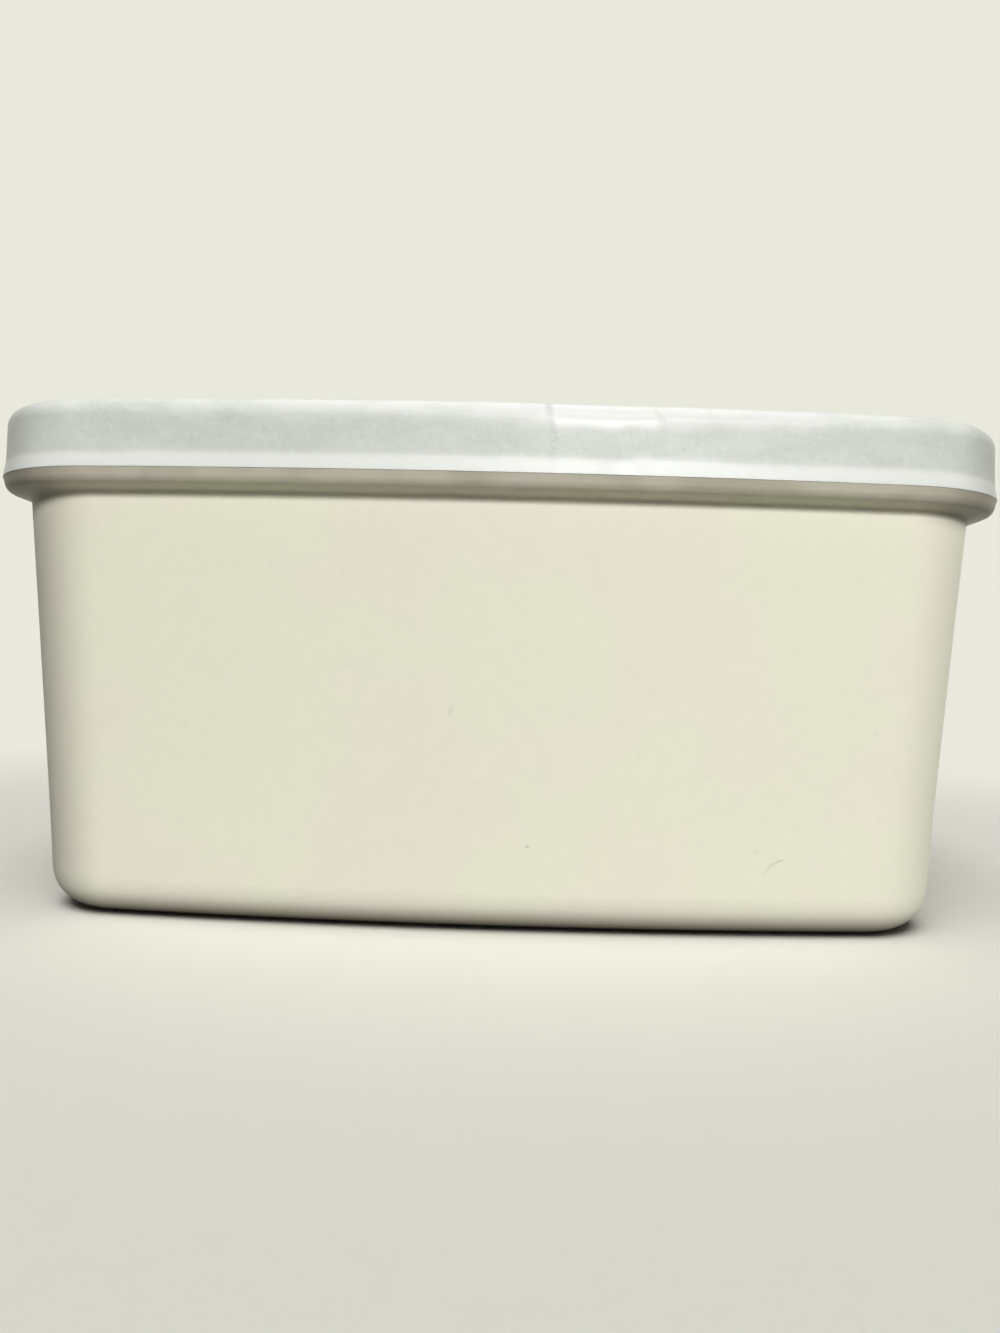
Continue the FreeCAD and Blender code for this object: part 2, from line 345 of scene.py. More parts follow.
def swept(name, outline, rows, pushed_in):
    """A closed mesh through a piece's rows, each end closed by a fan. Pushed_in is a function
    of a point and gives how far waves and knocks push it in there."""
    count = len(outline.spokes)
    vertices = []
    for row in rows:
        for point, (_, _, direction) in zip(row.points(outline), outline.spokes):
            if row.share == 0:
                point -= direction * (SKIN + pushed_in(point))
            vertices.append(tuple(point))
    rings = [
        [(number * count + place, number * count + (place + 1) % count) for place in range(count)]
        for number in range(len(rows))
    ]
    faces = []
    for low, high in zip(rings, rings[1:]):
        faces += [(*below, *reversed(above)) for below, above in zip(low, high)]
    for number, turned in ((0, True), (len(rows) - 1, False)):
        middle = len(vertices)
        vertices.append((0, 0, rows[number].level))
        faces += [(middle, *(reversed(ends) if turned else ends)) for ends in rings[number]]
    mesh = bpy.data.meshes.new(name)
    mesh.from_pydata(vertices, [], faces)
    mesh.validate()
    mesh.shade_smooth()
    sharp_edges = {
        frozenset(ends) for row, ring in zip(rows, rings) if row.sharp for ends in ring
    }
    marks = [frozenset(edge.vertices) in sharp_edges for edge in mesh.edges]
    mesh.attributes.new("sharp_edge", "BOOLEAN", "EDGE").data.foreach_set("value", marks)
    made = bpy.data.objects.new(name, mesh)
    bpy.context.scene.collection.objects.link(made)
    return made


def profile_places(sizes):
    """The insets and levels that tub and lid share."""
    tub, lid = sizes.tub, sizes.lid
    foot = tub.wall_inset + tub.wall_height * math.tan(tub.wall_draft)
    foot_flat = foot + tub.base_fillet * math.tan(math.pi / 4 - tub.wall_draft / 2)
    lip = tub.wall_height + tub.flange_rise
    skirt = lip + tub.lip_height + lid.skirt_gap
    top = skirt + lid.skirt_height
    shoulder = lid.flare_inset + (lid.skirt_height - lid.flare_height) * math.tan(lid.skirt_draft)
    skirt_inside = shoulder + lid.wall
    rim = skirt_inside + lid.side_gap
    rim_inside = rim + tub.rim_width
    channel_inside = rim_inside + lid.channel_gap
    border = channel_inside + lid.wall
    panel = top - lid.panel_drop
    return {
        "foot": foot, "foot_inside": foot_flat + tub.foot_width, "lip": lip,
        "skirt": skirt, "top": top, "shoulder": shoulder, "skirt_inside": skirt_inside,
        "rim": rim, "rim_inside": rim_inside, "channel_inside": channel_inside,
        "border": border, "panel": panel, "ceiling": panel - lid.wall, "seat": top - lid.wall,
    }


def tub_rows(sizes):
    """The tub's rows, from the gate mark in its base, up the wall and over the rim, to the
    plateau under the lid's panel."""
    tub, at = sizes.tub, profile_places(sizes)
    recess, gate = tub.recess_depth, tub.recess_depth + tub.gate_depth
    inner = at["foot_inside"] + INNER_MARGIN
    rows = [
        Row(inner, gate, 1.0, tub.gate_radius * GATE_SHARE),
        Row(inner, gate, 1.0, tub.gate_radius - HOLD),
        Row(inner, gate - HOLD / 2, 1.0, tub.gate_radius),
        Row(inner, recess + HOLD / 2, 1.0, tub.gate_radius),
        *reversed(closing_rows(inner, recess, tub.gate_radius + HOLD)),
    ]
    plateau = at["ceiling"] - sizes.lid.panel_gap
    rows += rounded([
        (inner, recess, 0),
        (at["foot_inside"], recess, tub.recess_fillet),
        (at["foot_inside"], 0, tub.recess_fillet),
        (at["foot"], 0, tub.base_fillet),
        (tub.wall_inset, tub.wall_height, tub.flange_fillet),
        (tub.lip_inset, at["lip"], tub.lip_fillet),
        (tub.lip_flare, at["skirt"], 0),
        (at["rim"], at["skirt"], 0),
        (at["rim"], at["seat"], sizes.lid.shoulder_fillet - sizes.lid.wall),
        (at["rim_inside"], at["seat"], tub.rim_fillet),
        (at["rim_inside"], plateau, 0),
        (inner, plateau, 0),
    ])
    return rows + closing_rows(inner, plateau, tub.gate_radius)


def lid_rows(sizes):
    """The lid's rows, from its ceiling, round the skirt's edge and the shoulder, to the button
    in the middle of its panel."""
    lid, at = sizes.lid, profile_places(sizes)
    bead_outside = at["border"] + lid.bead_margin
    bead_inside = bead_outside + lid.bead_width
    bead_top = at["panel"] + lid.bead_height
    button = at["panel"] + lid.button_height
    inner = bead_inside + INNER_MARGIN
    profile = rounded([
        (inner, at["ceiling"], 0),
        (at["channel_inside"], at["ceiling"], 0),
        (at["channel_inside"], at["seat"], 0),
        (at["skirt_inside"], at["seat"], lid.shoulder_fillet - lid.wall),
        (at["skirt_inside"], at["skirt"], 0),
        (0, at["skirt"], lid.edge_fillet),
        (lid.flare_inset, at["skirt"] + lid.flare_height, 0),
        (at["shoulder"], at["top"], lid.shoulder_fillet),
        (at["border"], at["top"], lid.panel_fillet),
        (at["border"], at["panel"], lid.panel_fillet),
        (bead_outside, at["panel"], 0),
        (bead_outside, bead_top, lid.bead_fillet),
        (bead_inside, bead_top, lid.bead_fillet),
        (bead_inside, at["panel"], 0),
        (inner, at["panel"], 0),
    ])
    return [
        *reversed(closing_rows(inner, at["ceiling"], lid.button_radius)),
        *profile,
        *closing_rows(inner, at["panel"], lid.button_radius + HOLD),
        Row(inner, at["panel"] + HOLD / 2, 1.0, lid.button_radius),
        Row(inner, button - HOLD / 2, 1.0, lid.button_radius),
        Row(inner, button, 1.0, lid.button_radius - HOLD),
        Row(inner, button, 1.0, lid.button_radius * BUTTON_SHARE),
    ]


# The lid's flattened length, in x from the middle, and the knock that made it: how far that
# runs past each end and below and above the lid's top, and how softly it fades.
FLAT_START, FLAT_END = 8.6 * MM, 23.7 * MM
KNOCK_BEFORE, KNOCK_AFTER, KNOCK_ENDS = 1 * MM, 2 * MM, 3 * MM
KNOCK_BELOW, KNOCK_ABOVE, KNOCK_EDGES = 3.9 * MM, 2 * MM, 2.4 * MM


def tub_pushed_in(point, sizes):
    """How far the waves in the moulded wall push a point of the tub in."""
    top = sizes.tub.wall_height - TOP_CLEAR
    depth = sizes.tub.ripple * hump(point.z, FOOT_CLEAR, top, WALL_FADE)
    return wave_in(point, depth, TUB_SEED)


def lid_pushed_in(point, sizes, at):
    """How far the waves in the skirt, and the knock beside the crease, push a point of the
    lid in."""
    depth = sizes.lid.ripple * hump(point.z, at["skirt"], at["top"], SKIRT_FADE)
    return wave_in(point, depth, LID_SEED) + knocked_in(point, sizes, at)


def knocked_in(point, sizes, at):
    """How far the knock beside the crease flattens the front of the lid's shoulder."""
    if point.y > at["border"] - sizes.outline.width / 2:
        return 0
    across = hump(point.x, FLAT_START - KNOCK_BEFORE, FLAT_END + KNOCK_AFTER, KNOCK_ENDS)
    upright = hump(point.z, at["top"] - KNOCK_BELOW, at["top"] + KNOCK_ABOVE, KNOCK_EDGES)
    return sizes.lid.knock * across * upright


# ---------------------------------------------------------------- finishes


class Wire:
    """A socket of a material's nodes. Arithmetic on it adds Math nodes."""

    def __init__(self, tree, socket):
        self.tree = tree
        self.socket = socket

    def math(self, operation, *terms, **settings):
        sockets = dict(enumerate(terms))
        return node(self.tree, "ShaderNodeMath", {"operation": operation, **settings}, sockets)

    def __add__(self, other):
        return self.math("ADD", self, other)

    def __radd__(self, other):
        return self.math("ADD", other, self)

    def __sub__(self, other):
        return self.math("SUBTRACT", self, other)

    def __rsub__(self, other):
        return self.math("SUBTRACT", other, self)

    def __mul__(self, other):
        return self.math("MULTIPLY", self, other)

    def __rmul__(self, other):
        return self.math("MULTIPLY", other, self)

    def __truediv__(self, other):
        return self.math("DIVIDE", self, other)

    def __rtruediv__(self, other):
        return self.math("DIVIDE", other, self)

    def __pow__(self, other):
        return self.math("POWER", self, other)

    def __rpow__(self, other):
        return self.math("POWER", other, self)

    def __abs__(self):
        return self.math("ABSOLUTE", self)

    def clamped(self):
        return self.math("ADD", self, 0.0, use_clamp=True)

    def eased(self, low, high):
        """0 up to low and 1 from high on, smooth between them; low may be the larger."""
        sockets = {"Value": self, "From Min": low, "From Max": high}
        settings = {"interpolation_type": "SMOOTHSTEP"}
        return node(self.tree, "ShaderNodeMapRange", settings, sockets)

    def over(self, low, high, soft):
        """1 between two values and 0 outside them, with soft ends."""
        return self.eased(low - soft, low + soft) * self.eased(high + soft, high - soft)


def node(tree, kind, settings=None, sockets=None, out=0):
    """A new node: its settings first, then its sockets' values or links. Gives the output."""
    made = tree.nodes.new(kind)
    for name, setting in (settings or {}).items():
        setattr(made, name, setting)
    for name, value in (sockets or {}).items():
        socket = made.inputs[name]
        if isinstance(value, Wire):
            tree.links.new(value.socket, socket)
        elif socket.type == "RGBA":
            socket.default_value = (*value, 1.0)
        else:
            socket.default_value = value
    return Wire(tree, made.outputs[out]) if len(made.outputs) else None


def mixed(tree, share, first, second):
    """A colour a share of the way from the first to the second."""
    sockets = {0: share, 6: first, 7: second}
    return node(tree, "ShaderNodeMix", {"data_type": "RGBA"}, sockets, out=2)


def darkened(colour, share):
    """A colour worked out in numbers, at a share of its strength."""
    return tuple(share * part for part in colour)


def noise_of(tree, place, scale, detail, roughness=0.5, stretch=None):
    """Noise over a place, about 0.5, with a scale per metre."""
    if stretch:
        sockets = {0: place, 1: stretch}
        place = node(tree, "ShaderNodeVectorMath", {"operation": "MULTIPLY"}, sockets)
    sockets = {"Vector": place, "Scale": scale, "Detail": detail, "Roughness": roughness}
    return node(tree, "ShaderNodeTexNoise", None, sockets)


def at_least(least, share):
    """A share from 0 to 1, brought up to lie between least and 1."""
    return least + (1 - least) * share


def new_material(name):
    material = bpy.data.materials.new(name)
    material.use_nodes = True
    material.node_tree.nodes.clear()
    return material, material.node_tree


def place_wires(tree):
    """The place on the object, whole and as x, y and z."""
    place = node(tree, "ShaderNodeTexCoord", out="Object")
    axes = [node(tree, "ShaderNodeSeparateXYZ", None, {0: place}, out=axis) for axis in "XYZ"]
    return place, *axes


def bumped(tree, height, strength, depth):
    """The surface's direction over a fine relief."""
    sockets = {"Strength": strength, "Distance": depth, "Height": height}
    return node(tree, "ShaderNodeBump", None, sockets)


def end_in_plastic(tree, plastic, colour, roughness, direction):
    """End a material in one plastic surface."""
    varying = {"Base Color": colour, "Roughness": roughness, "Normal": direction}
    made = node(tree, "ShaderNodeBsdfPrincipled", None, {**plastic, **varying})
    node(tree, "ShaderNodeOutputMaterial", None, {"Surface": made})


def from_line(x, z, start, end):
    """How far a place is from a straight stroke, in x and z."""
    run, rise = end[0] - start[0], end[1] - start[1]
    square = run * run + rise * rise
    along = (((x - start[0]) * run + (z - start[1]) * rise) / square).clamped()
    off_x = x - start[0] - along * run
    off_z = z - start[1] - along * rise
    return (off_x * off_x + off_z * off_z) ** 0.5


def from_strokes(x, z, points):
    """How far a place is from a bent stroke through points."""
    near = None
    for start, end in zip(points, points[1:]):
        off = from_line(x, z, start, end)
        near = off if near is None else near.math("MINIMUM", near, off)
    return near


# What is the same all over each plastic.
TUB_PLASTIC = {"IOR": 1.49, "Specular IOR Level": 0.2}
LID_PLASTIC = {
    "IOR": 1.50, "Specular IOR Level": 0.35,
    "Subsurface Weight": 0.25, "Subsurface Scale": 2 * MM, "Subsurface Radius": (1.0, 0.97, 0.88),
}

# Each unevenness: its scale per metre and its detail, and its roughness and its stretch along
# x, y and z where they aren't the usual ones.
TUB_NOISE = {
    "tones": (34.0, 3.0, 0.55), "mottle": (420.0, 3.0, 0.6), "specks": (1700.0, 2.0, 0.7),
    "patches": (110.0, 3.0), "scratch": (2600.0, 1.0), "skin": (330.0, 2.0),
    "grain": (2300.0, 2.0, 0.6),
}
LID_NOISE = {
    "mottle": (520.0, 3.0, 0.6), "wander": (130.0, 3.0), "specks": (1100.0, 2.0, 0.7),
    "clouds": (190.0, 4.0, 0.6, (0.6, 0.6, 1.3)), "skin": (210.0, 3.0, 0.55, (0.5, 0.5, 1.4)),
    "grain": (1900.0, 2.0, 0.6),
}

# From where to where in a noise, which lies about 0.5, each pattern comes up.
TONES_FROM, MOTTLE_FROM, SCUFFS_FROM = (0.42, 0.58), (0.3, 0.7), (0.60, 0.74)
CLOUDS_FROM, BROKEN_FROM = (0.35, 0.65), (0.35, 0.6)
PALE_SPECKS_FROM, DULL_SPECKS_FROM = (0.56, 0.72), (0.44, 0.28)

# Where each painted shade, each painted highlight and the lid's paler border begin and are full:
# painted shade at the tub's and lid's corners, on the lip, under the flange and at the foot, and
# painted highlight on the shoulder and, with a paler tone of thicker plastic, on the strip. At the
# corners and borders that is measured from the outline's edge, on the lip from its lower edge,
# on the strip and shoulder from the strip's top and the lid's top, and at the foot from the floor.
TUB_CORNER_X, TUB_CORNER_Y = (-16 * MM, -4 * MM), (-22 * MM, -8 * MM)
LID_CORNER_X, LID_CORNER_Y = (-16 * MM, -1 * MM), (-24 * MM, -8 * MM)
LID_BORDER = (-9 * MM, -5 * MM)
LIP_SLOPE, LIP_UPRIGHT = (-1.3 * MM, -0.3 * MM), (-0.5 * MM, 0.7 * MM)
UNDER_FLANGE = (-3 * MM, 0.0)
FOOT = (4.8 * MM, 0.6 * MM)
STRIP = (0.9 * MM, -0.7 * MM)
SHOULDER = (-4.6 * MM, -1.8 * MM)

# The stretch of the shoulder where its painted highlight is strongest, in x, and how softly it
# ends.
HIGHLIGHT_STRETCH = (-22 * MM, 50 * MM, 22 * MM)

# How far the edges of the lid's tones wander, and how many times as far each of them does.
WANDER = 1.1 * MM
STRIP_WANDER, SHOULDER_WANDER, FLAT_WANDER = 1.3, 2.4, 2.6

# How much of each shows, from 0 to 1.
TUB_SHARES = {
    "mottle": 0.05, "specks": 0.14, "corners": 0.46, "slope": 0.18, "upright": 0.60,
    "under": 0.66, "foot": 0.9, "scratch": 0.55, "tail": 0.15, "speck": 0.7, "spot": 0.22,
}
LID_SHARES = {
    "haze": 0.06, "haze clouds": 0.16, "haze border": 0.1, "specks": 0.3,
    "strip": 0.97, "shoulder_highlight": 0.15, "highlight middle": 0.5, "highlight clouds": 0.35,
    "corners": 0.8, "flattened": 0.6, "marks": 0.55, "crease": 0.7, "tail": 0.25,
    "end mark": 0.25,
}

# The least that the lip's painted shade, the scratch and the lid's pale tone come down to in
# places.
LEAST_SHADE, LEAST_SCRATCHED, LEAST_PALE = 0.78, 0.3, 0.9

# How much strength is left in the painted shade under the flange, in the lid's grey of painted
# shade at its ends and along its marks, and in its dull specks.
UNDER_TONE, SHADE_GREY_TONE, DULL_TONE = 0.45, 0.55, 0.8

# How high skin and grain stand in each plastic's relief and how deep a mark cuts into it, and
# the relief's own strength and depth.
TUB_SKIN, TUB_GRAIN, SCRATCH_CUT, TUB_BUMP = 0.3, 0.5, 2.5, (0.22, 0.12 * MM)
LID_SKIN, LID_GRAIN, CREASE_CUT, LID_BUMP = 0.8, 0.2, 2.0, (0.28, 0.16 * MM)

# How much mottle and scratch roughen the tub, how much mottle roughens the lid, and how much
# smoother that is where it is flattened or pale.
TUB_MOTTLE_ROUGH, SCRATCH_ROUGH = 0.16, 0.15
LID_MOTTLE_ROUGH, FLAT_SMOOTH, PALE_SMOOTH = 0.2, 0.06, 0.08

# Where the front, which the marks are on, begins and is full, on the tub and on the lid.
TUB_FRONT, LID_FRONT = (0.0, -20 * MM), (-45 * MM, -50 * MM)

# Marks of use on the tub's front, as strokes through (x, z) from the middle of the base.
SCRATCH = (
    (0.0433, 0.0106), (0.0440, 0.0114), (0.0447, 0.0122), (0.0459, 0.01275), (0.0464, 0.0129),
)
SCRATCH_DEEPEST = SCRATCH[2:4]
SCRATCH_TAIL = ((0.0416, 0.0142), (0.0422, 0.0139))
SPECK = ((0.0065, 0.0142), (0.0066, 0.0142))
FAINT_SPOT = ((-0.0059, 0.0346), (-0.0058, 0.0354))

# The crease down the lid's shoulder, its faint tail, and the mark at the far end of the
# flattened length.
CREASE = ((0.0078, 0.0810), (0.0079, 0.0788), (0.0082, 0.0775))
CREASE_TAIL = ((0.0082, 0.0775), (0.0088, 0.0752), (0.0084, 0.0735))
END_MARK = ((0.0235, 0.0803), (0.0247, 0.0788))

# How far from its stroke each mark begins and is full.
SCRATCH_REACH, DEEPEST_REACH = (0.42 * MM, 0.10 * MM), (1.8 * MM, 0.4 * MM)
TAIL_REACH, SPECK_REACH = (0.4 * MM, 0.1 * MM), (0.34 * MM, 0.14 * MM)
SPOT_REACH = (0.6 * MM, 0.1 * MM)
CREASE_REACH, CREASE_TAIL_REACH = (0.95 * MM, 0.1 * MM), (1.1 * MM, 0.2 * MM)
END_REACH = (0.7 * MM, 0.1 * MM)

# How ragged noise makes the marks, and how far below its lower end the crease is gone.
SCRATCH_RAGGED, CREASE_RAGGED, TAIL_RAGGED, END_RAGGED = 0.24 * MM, 0.9 * MM, 1.6 * MM, 0.6 * MM
CREASE_FADE = 0.3 * MM

# The heights between which the lid's flattened length gets its painted highlight, and how softly
# it ends across and upright.
FLAT_LOW, FLAT_HIGH = 77.7 * MM, 84.0 * MM
FLAT_SIDES, FLAT_EDGES = 0.6 * MM, 0.8 * MM


def tub_material(finishes, sizes):
    """Cream satin plastic: slow changes of tone, fine grain, painted shade on the lip, the corners
    and the foot, and small marks.
    """
    material, tree = new_material("cream_satin_plastic")
    place, x, y, z = place_wires(tree)
    mottle = noise_of(tree, place, *TUB_NOISE["mottle"])
    scratch, marks = tub_marks(tree, place, x, z, y.eased(*TUB_FRONT))
    colour = tub_tones(tree, place, mottle, finishes)
    colour = tub_painted_shade(tree, place, x, y, z, colour, finishes, sizes)
    colour = mixed(tree, marks, colour, finishes.scuff_and_shade)
    skin = noise_of(tree, place, *TUB_NOISE["skin"])
    grain = noise_of(tree, place, *TUB_NOISE["grain"])
    relief = grain * TUB_GRAIN + skin * TUB_SKIN - scratch * SCRATCH_CUT
    roughness = finishes.tub_roughness + (mottle - 0.5) * TUB_MOTTLE_ROUGH
    roughness += scratch * SCRATCH_ROUGH
    end_in_plastic(tree, TUB_PLASTIC, colour, roughness, bumped(tree, relief, *TUB_BUMP))
    return material


def tub_tones(tree, place, mottle, finishes):
    """The clean plastic: slow changes from cream to a greener cream, mottle and specks."""
    slow = noise_of(tree, place, *TUB_NOISE["tones"]).eased(*TONES_FROM)
    mottled = mottle.eased(*MOTTLE_FROM) * TUB_SHARES["mottle"]
    specks = noise_of(tree, place, *TUB_NOISE["specks"]).eased(*SCUFFS_FROM)
    colour = mixed(tree, slow, finishes.cream, finishes.green_cream)
    colour = mixed(tree, mottled, colour, finishes.scuff_and_shade)
    return mixed(tree, specks * TUB_SHARES["specks"], colour, finishes.scuff_and_shade)


def tub_painted_shade(tree, place, x, y, z, colour, finishes, sizes):
    """Painted shade: darker towards the four upright corners, on the lip under the lid, under the
    flange at the ends and towards the foot.
    """
    at, tub, shares = profile_places(sizes), sizes.tub, TUB_SHARES
    lean = (tub.wall_height - z) * math.tan(tub.wall_draft) + tub.wall_inset
    across = abs(x) + lean - sizes.outline.length / 2
    along = abs(y) + lean - sizes.outline.width / 2
    corners = across.eased(*TUB_CORNER_X) * along.eased(*TUB_CORNER_Y)
    over_lip = z - at["lip"]
    slope, upright = over_lip.eased(*LIP_SLOPE), over_lip.eased(*LIP_UPRIGHT)
    patches = noise_of(tree, place, *TUB_NOISE["patches"]).eased(*CLOUDS_FROM)
    lip = slope * shares["slope"] + upright * shares["upright"]
    under = (z - tub.wall_height).eased(*UNDER_FLANGE) * corners
    under_flange = darkened(finishes.painted_shade, UNDER_TONE)
    # Painted shade: the upright corners, the lip under the lid's edge, the flange's ends and the
    # foot are darkened here.
    colour = mixed(tree, corners * shares["corners"], colour, finishes.scuff_and_shade)
    colour = mixed(tree, lip * at_least(LEAST_SHADE, patches), colour, finishes.painted_shade)
    colour = mixed(tree, under * shares["under"], colour, under_flange)
    return mixed(tree, z.eased(*FOOT) * shares["foot"], colour, finishes.painted_shade)


def tub_marks(tree, place, x, z, front):
    """The scratch on its own, and all the marks on the front wall together."""
    shares = TUB_SHARES
    rough_edge = noise_of(tree, place, *TUB_NOISE["scratch"]) * SCRATCH_RAGGED
    scratch = (from_strokes(x, z, SCRATCH) + rough_edge).eased(*SCRATCH_REACH) * front
    deepest = from_strokes(x, z, SCRATCH_DEEPEST).eased(*DEEPEST_REACH)
    tail = from_strokes(x, z, SCRATCH_TAIL).eased(*TAIL_REACH) * front
    speck = from_strokes(x, z, SPECK).eased(*SPECK_REACH) * front
    spot = from_strokes(x, z, FAINT_SPOT).eased(*SPOT_REACH) * front
    marks = scratch * at_least(LEAST_SCRATCHED, deepest) * shares["scratch"]
    marks += tail * shares["tail"]
    marks += speck * shares["speck"] + spot * shares["spot"]
    return scratch, marks.clamped()


def lid_material(finishes, sizes):
    """Frosted plastic with a paler bottom strip, partly its thicker plastic and partly painted
    highlight, painted highlight on its shoulder and flattened length, and painted shade greying
    its ends and its creases.
    """
    material, tree = new_material("frosted_plastic")
    place, x, y, z = place_wires(tree)
    shares = LID_SHARES
    mottle = noise_of(tree, place, *LID_NOISE["mottle"])
    wander = (noise_of(tree, place, *LID_NOISE["wander"]) - 0.5) * WANDER
    clouds = noise_of(tree, place, *LID_NOISE["clouds"]).eased(*CLOUDS_FROM)

    across, along = abs(x) - sizes.outline.length / 2, abs(y) - sizes.outline.width / 2
    corners = across.eased(*LID_CORNER_X) * along.eased(*LID_CORNER_Y)
    end_border = across.eased(*LID_BORDER)
    border = end_border.math("MAXIMUM", end_border, along.eased(*LID_BORDER))
    pale = lid_pale(x, z, wander, border, clouds, sizes)

    front = y.eased(*LID_FRONT)
    creased, end_mark = lid_marks(x, z, mottle, front)
    flattened = x.over(FLAT_START, FLAT_END, FLAT_SIDES) * front
    flattened *= (z + wander * FLAT_WANDER).over(FLAT_LOW, FLAT_HIGH, FLAT_EDGES)

    shade_grey, marks = darkened(finishes.frost, SHADE_GREY_TONE), (creased + end_mark).clamped()
    colour = lid_haze(tree, place, clouds, border, finishes)
    # The paler strip, partly thicker plastic and partly painted highlight, and the shoulder's
    # painted highlight.
    colour = mixed(tree, pale * at_least(LEAST_PALE, mottle), colour, finishes.pale_frost_and_highlight)
    # Painted shade: the lid's ends are greyed.
    colour = mixed(tree, corners * shares["corners"], colour, shade_grey)
    # Painted highlight on the flattened length.
    colour = mixed(tree, flattened * shares["flattened"], colour, finishes.pale_frost_and_highlight)
    # Painted shade along the crease, its tail and the end mark.
    colour = mixed(tree, marks * shares["marks"], colour, shade_grey)

    skin = noise_of(tree, place, *LID_NOISE["skin"])
    grain = noise_of(tree, place, *LID_NOISE["grain"])
    relief = skin * LID_SKIN + grain * LID_GRAIN - creased * CREASE_CUT
    roughness = finishes.lid_roughness + (mottle - 0.5) * LID_MOTTLE_ROUGH
    roughness = roughness - flattened * FLAT_SMOOTH - pale * PALE_SMOOTH
    end_in_plastic(tree, LID_PLASTIC, colour, roughness, bumped(tree, relief, *LID_BUMP))
    return material


def lid_pale(x, z, wander, border, clouds, sizes):
    """Where the lid is painted paler: the bottom strip, partly for its thicker plastic and partly
    as painted highlight, and the shoulder's painted highlight, strongest along the middle of its
    length.
    """
    at, shares = profile_places(sizes), LID_SHARES
    strip_top = at["skirt"] + sizes.lid.flare_height
    strip = (z + wander * STRIP_WANDER - strip_top).eased(*STRIP)
    shoulder = (z + wander * SHOULDER_WANDER - at["top"]).eased(*SHOULDER)
    # The shoulder's painted highlight, strongest along the middle of its length.
    shoulder_highlight = shares["shoulder_highlight"] + shares["highlight middle"] * x.over(*HIGHLIGHT_STRETCH)
    shoulder_highlight = shoulder * border * (shoulder_highlight + shares["highlight clouds"] * clouds)
    return (strip * shares["strip"] + shoulder_highlight).clamped()


def lid_haze(tree, place, clouds, border, finishes):
    """The frosted plastic itself: a haze of its paler tone, with pale and dull specks."""
    shares = LID_SHARES
    haze = clouds * (shares["haze clouds"] + shares["haze border"] * border) + shares["haze"]
    specks = noise_of(tree, place, *LID_NOISE["specks"])
    pale_specks = specks.eased(*PALE_SPECKS_FROM) * shares["specks"]
    dull_specks = specks.eased(*DULL_SPECKS_FROM) * shares["specks"]
    colour = mixed(tree, haze, finishes.frost, finishes.pale_frost_and_highlight)
    colour = mixed(tree, pale_specks, colour, finishes.pale_frost_and_highlight)
    return mixed(tree, dull_specks, colour, darkened(finishes.frost, DULL_TONE))


def lid_marks(x, z, mottle, front):
    """The crease with its faint tail, and the mark at the flattened length's far end."""
    shares, ragged = LID_SHARES, mottle - 0.5
    fading = z.eased(CREASE[-1][1] - CREASE_FADE, CREASE[0][1])
    crease = from_strokes(x + ragged * CREASE_RAGGED, z, CREASE).eased(*CREASE_REACH)
    tail = from_strokes(x + ragged * TAIL_RAGGED, z, CREASE_TAIL).eased(*CREASE_TAIL_REACH)
    broken = mottle.eased(*BROKEN_FROM)
    creased = crease * fading * shares["crease"] + tail * broken * shares["tail"]
    end_mark = (from_strokes(x, z, END_MARK) + ragged * END_RAGGED).eased(*END_REACH)
    return creased.clamped() * front, end_mark * shares["end mark"] * front


# ---------------------------------------------------------------- studio

# Where the camera stands, in metres, and how it is turned, in degrees, with its lens and the
# width of its sensor in millimetres and the nearest thing it sees, in metres.
CAMERA_PLACE = Vector((0.00437, -0.209091, 0.04397))
CAMERA_YAW, CAMERA_PITCH, CAMERA_ROLL = -1.002, -0.726, 1.523
LENS, SENSOR, NEAREST = 28.087, 36.0, 0.005

# The lamps: each one's azimuth, elevation and spread in degrees, its strength, and what it
# lights. Those behind only soften the back and ends, and don't glint.
LAMPS = {
    "tub_key": (19.0, 24.0, 14.0, 3.12, "tub"),
    "lid_key": (10.0, 22.0, 18.0, 2.4, "lid"),
    "lid_glint": (5.0, 56.0, 24.0, 0.7, "lid"),
    "back_right": (155.0, 25.0, 20.0, 1.2, "object"),
    "back_left": (205.0, 25.0, 20.0, 1.2, "object"),
    "sky": (180.0, 78.0, 50.0, 0.85, "object"),
    "overhead": (352.0, 64.0, 40.0, 2.15, "floor"),
}
BACK_LAMPS = ("back_right", "back_left")

# The even light from all round, and the backdrop that the floor runs into between two
# distances from the tub.
FILL = 0.04
BACKDROP = (0.82, 0.81, 0.72)
FAR_START, FAR_END = 0.07, 0.32

# The floor: its rings and how each is divided, its second tone with how much of it shows and
# its noise's scale per metre and detail, and the dim colour that it throws back on the object.
FLOOR_RINGS, FLOOR_STEPS = (0.1, 0.25, 0.6, 1.5, 3.0, 6.0), 96
FLOOR_TONE, FLOOR_SHARE, FLOOR_NOISE = (0.8, 0.79, 0.72), 0.08, (3.0, 2.0)
THROWN = (0.165, 0.162, 0.14)


def floor_material(finishes):
    """A pale floor to look at, which throws less light back on the object than it shows."""
    material, tree = new_material("pale_floor")
    place, x, y, _ = place_wires(tree)
    tone = noise_of(tree, place, *FLOOR_NOISE) * FLOOR_SHARE
    seen = mixed(tree, tone, finishes.floor, FLOOR_TONE)
    near = node(tree, "ShaderNodeBsdfDiffuse", None, {"Color": seen})
    far = node(tree, "ShaderNodeEmission", None, {"Color": BACKDROP, "Strength": 1.0})
    distance = (x * x + y * y) ** 0.5
    shown = blended(tree, distance.eased(FAR_START, FAR_END), near, far)
    thrown = node(tree, "ShaderNodeBsdfDiffuse", None, {"Color": THROWN})
    ends = blended(tree, seen_directly(tree), thrown, shown)
    node(tree, "ShaderNodeOutputMaterial", None, {"Surface": ends})
    return material


